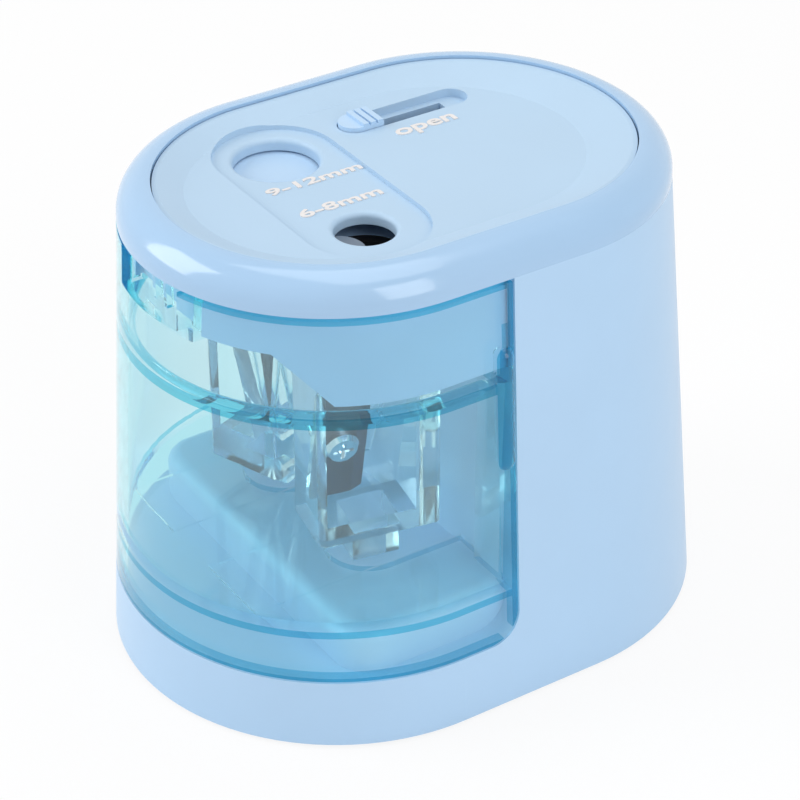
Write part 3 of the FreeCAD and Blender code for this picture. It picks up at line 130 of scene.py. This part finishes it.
def noise(group, scale_from, detail, stretch=(1.0, 1.0, 1.0)):
    """Solid noise in the part's own frame, at a scale taken from a socket and drawn out by a stretch."""
    place = group.nodes.new("ShaderNodeTexCoord")
    drawn_out = group.nodes.new("ShaderNodeMapping")
    drawn_out.inputs["Scale"].default_value = stretch
    made = group.nodes.new("ShaderNodeTexNoise")
    made.inputs["Detail"].default_value = detail
    group.links.new(place.outputs["Object"], drawn_out.inputs["Vector"])
    group.links.new(drawn_out.outputs["Vector"], made.inputs["Vector"])
    group.links.new(scale_from, made.inputs["Scale"])
    return made.outputs["Fac"]


def spread(group, source, low_from, high_from):
    """A value that runs between two sockets over the range that noise mostly keeps to."""
    made = group.nodes.new("ShaderNodeMapRange")
    made.inputs["From Min"].default_value = NOISE_LOW
    made.inputs["From Max"].default_value = NOISE_HIGH
    group.links.new(source, made.inputs["Value"])
    group.links.new(low_from, made.inputs["To Min"])
    group.links.new(high_from, made.inputs["To Max"])
    return made.outputs["Result"]


def shade(group, color_from, value_from):
    """The colour, lighter or darker by a varying value round 1."""
    made = group.nodes.new("ShaderNodeVectorMath")
    made.operation = "SCALE"
    group.links.new(color_from, made.inputs[0])
    group.links.new(value_from, made.inputs["Scale"])
    return made.outputs["Vector"]


def moulded_skin():
    """Slow flow marks in the colour, a fine texture, and gloss that varies."""
    group, given, put = open_group("moulded_skin", [
        ("Color", "NodeSocketColor", SKY_BLUE),
        ("Darkest", "NodeSocketFloat", 0.98),
        ("Lightest", "NodeSocketFloat", 1.02),
        ("Flow Scale", "NodeSocketFloat", 45.0),
        ("Texture Scale", "NodeSocketFloat", 2600.0),
        ("Smoothest", "NodeSocketFloat", 0.25),
        ("Roughest", "NodeSocketFloat", 0.33),
    ], [("Color", "NodeSocketColor"), ("Roughness", "NodeSocketFloat"), ("Height", "NodeSocketFloat")])
    flow = noise(group, given.outputs["Flow Scale"], 3.0)
    grain = noise(group, given.outputs["Texture Scale"], 2.0)
    value = spread(group, flow, given.outputs["Darkest"], given.outputs["Lightest"])
    group.links.new(shade(group, given.outputs["Color"], value), put.inputs["Color"])
    rough = spread(group, flow, given.outputs["Smoothest"], given.outputs["Roughest"])
    group.links.new(rough, put.inputs["Roughness"])
    group.links.new(grain, put.inputs["Height"])
    return group


def drawn_metal():
    """Fine marks drawn out along one direction, with gloss that follows them."""
    group, given, put = open_group("drawn_metal", [
        ("Color", "NodeSocketColor", PLAIN_STEEL),
        ("Darkest", "NodeSocketFloat", 0.85),
        ("Lightest", "NodeSocketFloat", 1.1),
        ("Mark Scale", "NodeSocketFloat", 900.0),
        ("Smoothest", "NodeSocketFloat", 0.22),
        ("Roughest", "NodeSocketFloat", 0.38),
    ], [("Color", "NodeSocketColor"), ("Roughness", "NodeSocketFloat"), ("Height", "NodeSocketFloat")])
    marks = noise(group, given.outputs["Mark Scale"], 3.0, stretch=(1.0, 1.0, 0.06))
    value = spread(group, marks, given.outputs["Darkest"], given.outputs["Lightest"])
    group.links.new(shade(group, given.outputs["Color"], value), put.inputs["Color"])
    rough = spread(group, marks, given.outputs["Smoothest"], given.outputs["Roughest"])
    group.links.new(rough, put.inputs["Roughness"])
    group.links.new(marks, put.inputs["Height"])
    return group


def painted_edge_shade():
    """Painted shade: a deeper colour painted where a clear moulding is seen edge on, standing in for
    light's
    long path through the tinted plastic: its floor, its top and bottom edges, its ridge, its two rear
    edges and the grip beads that stand out of its sides."""
    group, given, put = open_group("painted_edge_shade", [
        ("Color", "NodeSocketColor", BIN_CLEAR),
        ("Edge Shade", "NodeSocketColor", BIN_EDGE_SHADE),
    ], [("Color", "NodeSocketColor")])
    place = group.nodes.new("ShaderNodeTexCoord")
    axes = group.nodes.new("ShaderNodeSeparateXYZ")
    group.links.new(place.outputs["Object"], axes.inputs["Vector"])
    side, along, height = (axes.outputs[axis] for axis in "XYZ")
    across = calculate(group, "ABSOLUTE", side)
    rear = calculate(group, "COMPARE", along, BIN_REAR, BIN_REAR_REACH)
    edge_shade_mask = calculate(group, "MULTIPLY", rear, calculate(group, "GREATER_THAN", across, BIN_REAR_SIDE))
    outward = calculate(group, "MULTIPLY_ADD", height, BIN_LEAN, across)
    edge_shade_mask = calculate(group, "MAXIMUM", edge_shade_mask, calculate(group, "GREATER_THAN", outward, BIN_BEAD_FROM))
    for level, reach in BIN_EDGE_SHADE_BANDS:
        edge_shade_mask = calculate(group, "MAXIMUM", edge_shade_mask, calculate(group, "COMPARE", height, level, reach))
    mix = group.nodes.new("ShaderNodeMix")
    mix.data_type = "RGBA"
    first, second = (socket for socket in mix.inputs if socket.type == "RGBA")
    mixed = next(socket for socket in mix.outputs if socket.type == "RGBA")
    group.links.new(edge_shade_mask, mix.inputs["Factor"])
    group.links.new(given.outputs["Color"], first)
    group.links.new(given.outputs["Edge Shade"], second)
    group.links.new(mixed, put.inputs["Color"])
    return group


# Heights on the bin that are seen edge on and get painted edge shade, each with half its depth: floor,
# top, bottom and ridge
BIN_EDGE_SHADE_BANDS = ((20.4 * MM, 0.6 * MM), (72.0 * MM, 0.4 * MM), (12.3 * MM, 0.4 * MM), (56.0 * MM, 0.9 * MM))
# The bin's rear edges, which get painted edge shade, by their place along Y, half their depth, and how far
# out they begin
BIN_REAR = -2.9 * MM
BIN_REAR_REACH = 0.7 * MM
BIN_REAR_SIDE = 30.0 * MM
# The sides lean in by this share of the height, and the beads, which get painted edge shade, stand out
# past this half width
BIN_LEAN = 4.7 / 72.8
BIN_BEAD_FROM = 36.15 * MM

SKIN = moulded_skin()
# The group that paints shade on a clear moulding's edges
EDGE_SHADE_GROUP = painted_edge_shade()
DRAWN = drawn_metal()


# Finishes

RELIEF_DEPTH = 0.1 * MM
CLEAR_RELIEF = 0.02


def finish(name, effect, color, settings, relief, plain=None):
    """A finish with one shared effect. settings go to the effect, plain values to the shader itself."""
    material = bpy.data.materials.new(name)
    material.use_nodes = True
    tree = material.node_tree
    shader = tree.nodes["Principled BSDF"]
    skin = tree.nodes.new("ShaderNodeGroup")
    skin.node_tree = effect
    skin.inputs["Color"].default_value = color
    for label, value in settings.items():
        skin.inputs[label].default_value = value
    bump = tree.nodes.new("ShaderNodeBump")
    bump.inputs["Strength"].default_value = relief
    bump.inputs["Distance"].default_value = RELIEF_DEPTH
    tree.links.new(skin.outputs["Color"], shader.inputs["Base Color"])
    tree.links.new(skin.outputs["Roughness"], shader.inputs["Roughness"])
    tree.links.new(skin.outputs["Height"], bump.inputs["Height"])
    tree.links.new(bump.outputs["Normal"], shader.inputs["Normal"])
    for label, value in (plain or {}).items():
        shader.inputs[label].default_value = value
    return material


def clear_finish(name, color, depth_color, density, bending, last_bend, settings, edge=None):
    """A clear moulding: it lets light through to what is inside, and when an edge colour is given, painted
    shade makes its edges a deeper colour.

    Light that has bent more than last_bend times goes straight on, so that no edge turns black.
    """
    plain = {"Transmission Weight": 0.97, "IOR": bending, "Coat Weight": 0.8}
    material = finish(name, SKIN, color, settings, CLEAR_RELIEF, plain)
    tree = material.node_tree
    shader = tree.nodes["Principled BSDF"]
    out = tree.nodes["Material Output"]
    # Painted shade: the edge colour is painted on where the moulding is seen edge on
    if edge:
        edge_shaded = tree.nodes.new("ShaderNodeGroup")
        edge_shaded.node_tree = EDGE_SHADE_GROUP
        edge_shaded.inputs["Edge Shade"].default_value = edge
        source = shader.inputs["Base Color"].links[0].from_socket
        tree.links.new(source, edge_shaded.inputs["Color"])
        tree.links.new(edge_shaded.outputs["Color"], shader.inputs["Base Color"])
    path = tree.nodes.new("ShaderNodeLightPath")
    passing = tree.nodes.new("ShaderNodeBsdfTransparent")
    passing.inputs["Color"].default_value = color
    late = calculate(tree, "GREATER_THAN", path.outputs["Ray Depth"], last_bend)
    lit = calculate(tree, "MAXIMUM", path.outputs["Is Shadow Ray"], path.outputs["Is Diffuse Ray"])
    straight = calculate(tree, "MAXIMUM", late, lit)
    mixed = mix_shaders(tree, straight, shader.outputs["BSDF"], passing.outputs["BSDF"])
    tree.links.new(mixed, out.inputs["Surface"])
    depth = tree.nodes.new("ShaderNodeVolumeAbsorption")
    depth.inputs["Color"].default_value = depth_color
    depth.inputs["Density"].default_value = density
    tree.links.new(depth.outputs["Volume"], out.inputs["Volume"])
    return material


def gloss(low, high, **more):
    """Settings for an effect whose roughness varies between two values."""
    return {"Smoothest": low, "Roughest": high, **more}


def metal(name, color, low, high, marks, relief):
    """A drawn metal, with its marks at a scale."""
    settings = gloss(low, high, **{"Mark Scale": marks})
    return finish(name, DRAWN, color, settings, relief, {"Metallic": 1.0})


FINISHES = {
    "shell_blue": finish("shell_blue", SKIN, SKY_BLUE, gloss(0.30, 0.38), 0.05),
    # The rim takes the shell blue darkened as painted shade
    "rim_blue": finish("rim_blue", SKIN, RIM_BLUE_SHADED, gloss(0.13, 0.18), 0.02, {"Coat Weight": 0.3}),
    "deck_blue": finish("deck_blue", SKIN, DECK_BLUE, gloss(0.42, 0.52), 0.12),
    "slider_blue": finish("slider_blue", SKIN, SLIDER_BLUE, gloss(0.28, 0.36), 0.04),
    "bar_grey": finish("bar_grey", SKIN, BAR_GREY, gloss(0.35, 0.45), 0.05),
    # The bin's finish has painted shade on its edges
    "bin_clear": clear_finish(
        "bin_clear", BIN_CLEAR, BIN_DEPTH, 80.0, 1.09, 3.0, gloss(0.02, 0.05), edge=BIN_EDGE_SHADE,
    ),
    "housing_blue": finish("housing_blue", SKIN, HOUSING_BLUE, gloss(0.34, 0.44), 0.06),
    "cutter_clear": clear_finish(
        "cutter_clear", CUTTER_CLEAR, CUTTER_CLEAR, 15.0, 1.2, 8.0, gloss(0.03, 0.07),
    ),
    "blade_steel": metal("blade_steel", BLADE_STEEL, 0.26, 0.40, 700.0, 0.15),
    "bright_screw": metal("bright_screw", BRIGHT_PLATE, 0.08, 0.16, 400.0, 0.03),
    "plain_steel": metal("plain_steel", PLAIN_STEEL, 0.24, 0.36, 600.0, 0.08),
    "gear_white": finish("gear_white", SKIN, GEAR_WHITE, gloss(0.40, 0.50), 0.05),
    "pinion_brass": metal("pinion_brass", PINION_BRASS, 0.20, 0.32, 500.0, 0.06),
    "dark_plastic": finish("dark_plastic", SKIN, DARK_PLASTIC, gloss(0.38, 0.50), 0.08),
    "cell_wrap": finish("cell_wrap", SKIN, CELL_WRAP, gloss(0.25, 0.35), 0.03),
    "foot_rubber": finish("foot_rubber", SKIN, FOOT_RUBBER, gloss(0.60, 0.75), 0.20),
}
LETTERS = finish("letter_print", SKIN, LETTER_PALE, gloss(0.40, 0.50), 0.05)

for entry in frame["record"]["subparts"]:
    node = nodes[entry["node"]]
    if not node.material_slots:
        node.data.materials.append(None)
    for place in node.material_slots:
        place.material = FINISHES[entry["material_slot"]]


# Raised lettering on the deck: pencil sizes by the holes, and the slider's open end

LETTER_PROUD = 0.16 * MM
LETTER_DEPTH = 2.5 * LETTER_PROUD
LETTER_BOLD = 0.02


def deck_height(x, y):
    """The height of the deck's top under a point."""
    above = Vector((x, y, 2 * cad_box[1].z))
    hit, spot, _, _ = nodes["deck_panel"].ray_cast(above, Vector((0, 0, -1)))
    return spot.z if hit else cad_box[1].z


def lettering(name, words, base_x, start_y, end_y, height):
    """Words that read along +Y, with their feet at base_x, standing a little proud of the deck."""
    curve = bpy.data.curves.new(name + "_curve", "FONT")
    curve.body = words
    curve.size = 1.0
    curve.extrude = 0.5
    curve.offset = LETTER_BOLD
    drawn = bpy.data.objects.new(name + "_drawn", curve)
    bpy.context.scene.collection.objects.link(drawn)
    bpy.context.view_layer.update()
    mesh = bpy.data.meshes.new_from_object(drawn.evaluated_get(bpy.context.evaluated_depsgraph_get()))
    bpy.data.objects.remove(drawn)
    corners = [point.co.copy() for point in mesh.vertices]
    low = Vector((min(c.x for c in corners), min(c.y for c in corners)))
    high = Vector((max(c.x for c in corners), max(c.y for c in corners)))
    along = (end_y - start_y) / (high.x - low.x)
    tall = height / (high.y - min(0.0, low.y))
    level = deck_height(base_x, start_y)
    for point in mesh.vertices:
        y = start_y + (point.co.x - low.x) * along
        x = base_x - point.co.y * tall
        lift = LETTER_PROUD if point.co.z > 0 else LETTER_PROUD - LETTER_DEPTH
        point.co = Vector((x, y, level + lift))
    piece = bpy.data.objects.new(name, mesh)
    bpy.context.scene.collection.objects.link(piece)
    mesh.materials.clear()
    mesh.materials.append(LETTERS)
    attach(piece, "housing")


lettering("large_size_marking", "9-12mm", -2.9 * MM, -21.6 * MM, -5.6 * MM, 2.0 * MM)
lettering("small_size_marking", "6-8mm", 5.2 * MM, -20.9 * MM, -7.2 * MM, 2.2 * MM)
lettering("open_marking", "open", -7.4 * MM, 3.7 * MM, 14.3 * MM, 2.8 * MM)


# Floor, light and camera

FLOOR_GLOW = 0.86
FLOOR_REACH = 6.0
AMBIENT = 0.45
SENSOR_WIDTH = 36.0


def floor_finish():
    """A pale floor that looks white and still takes the part's shadow. It is clear from below."""
    material = bpy.data.materials.new("floor_pale")
    material.use_nodes = True
    tree = material.node_tree
    shader = tree.nodes["Principled BSDF"]
    shader.inputs["Base Color"].default_value = FLOOR_PALE
    shader.inputs["Roughness"].default_value = 0.9
    glow = tree.nodes.new("ShaderNodeEmission")
    share = calculate(tree, "MULTIPLY", seen_rays(tree), FLOOR_GLOW)
    above = mix_shaders(tree, share, shader.outputs["BSDF"], glow.outputs["Emission"])
    facing = tree.nodes.new("ShaderNodeNewGeometry")
    clear = tree.nodes.new("ShaderNodeBsdfTransparent")
    mixed = mix_shaders(tree, facing.outputs["Backfacing"], above, clear.outputs["BSDF"])
    tree.links.new(mixed, tree.nodes["Material Output"].inputs["Surface"])
    return material


def seen_rays(tree):
    """1 for rays from the camera, or by way of gloss or clear plastic."""
    path = tree.nodes.new("ShaderNodeLightPath")
    direct = calculate(tree, "MAXIMUM", path.outputs["Is Camera Ray"], path.outputs["Is Transmission Ray"])
    return calculate(tree, "MAXIMUM", direct, path.outputs["Is Glossy Ray"])


def make_floor(reach):
    mesh = bpy.data.meshes.new("floor")
    form = bmesh.new()
    corners = [form.verts.new((x * reach, y * reach, 0)) for x, y in ((-1, -1), (1, -1), (1, 1), (-1, 1))]
    form.faces.new(corners)
    form.to_mesh(mesh)
    form.free()
    floor = bpy.data.objects.new("floor", mesh)
    bpy.context.scene.collection.objects.link(floor)
    mesh.materials.append(floor_finish())


def make_world(ambient):
    world = bpy.data.worlds.new("studio")
    bpy.context.scene.world = world
    world.use_nodes = True
    tree = world.node_tree
    back = tree.nodes["Background"]
    back.inputs["Color"].default_value = (1.0, 1.0, 1.0, 1.0)
    level = tree.nodes.new("ShaderNodeMapRange")
    level.inputs["To Min"].default_value = ambient
    level.inputs["To Max"].default_value = 1.0
    tree.links.new(seen_rays(tree), level.inputs["Value"])
    tree.links.new(level.outputs["Result"], back.inputs["Strength"])


def point_at(made, place, aim):
    """Put a lamp or a camera in the scene, looking at a point."""
    made.location = place
    made.rotation_mode = "QUATERNION"
    made.rotation_quaternion = (Vector(aim) - Vector(place)).to_track_quat("-Z", "Y")
    bpy.context.scene.collection.objects.link(made)


def soft_box(name, place, aim, width, height, power):
    lamp = bpy.data.lights.new(name, "AREA")
    lamp.shape = "RECTANGLE"
    lamp.size = width
    lamp.size_y = height
    lamp.energy = power
    made = bpy.data.objects.new(name, lamp)
    point_at(made, place, aim)


def make_camera(place, aim, lens):
    data = bpy.data.cameras.new("camera")
    data.lens = lens
    data.sensor_width = SENSOR_WIDTH
    camera = bpy.data.objects.new("camera", data)
    point_at(camera, place, aim)
    bpy.context.scene.camera = camera


MIDDLE = (0.0, 0.0, 0.04)
make_floor(FLOOR_REACH)
make_world(AMBIENT)
soft_box("top_box", (0.0, 0.1, 0.75), MIDDLE, 0.7, 0.5, 1.9)
soft_box("front_box", (-0.45, -0.7, 0.45), MIDDLE, 0.5, 0.7, 4.5)
soft_box("side_box", (0.8, 0.1, 0.4), MIDDLE, 0.4, 0.7, 2.6)
# The camera that was fitted to the photograph
make_camera((0.291918, -0.191181, 0.263254), (0.004503, -0.003960, 0.038279), 120.13)

bpy.context.scene.view_settings.view_transform = "Standard"
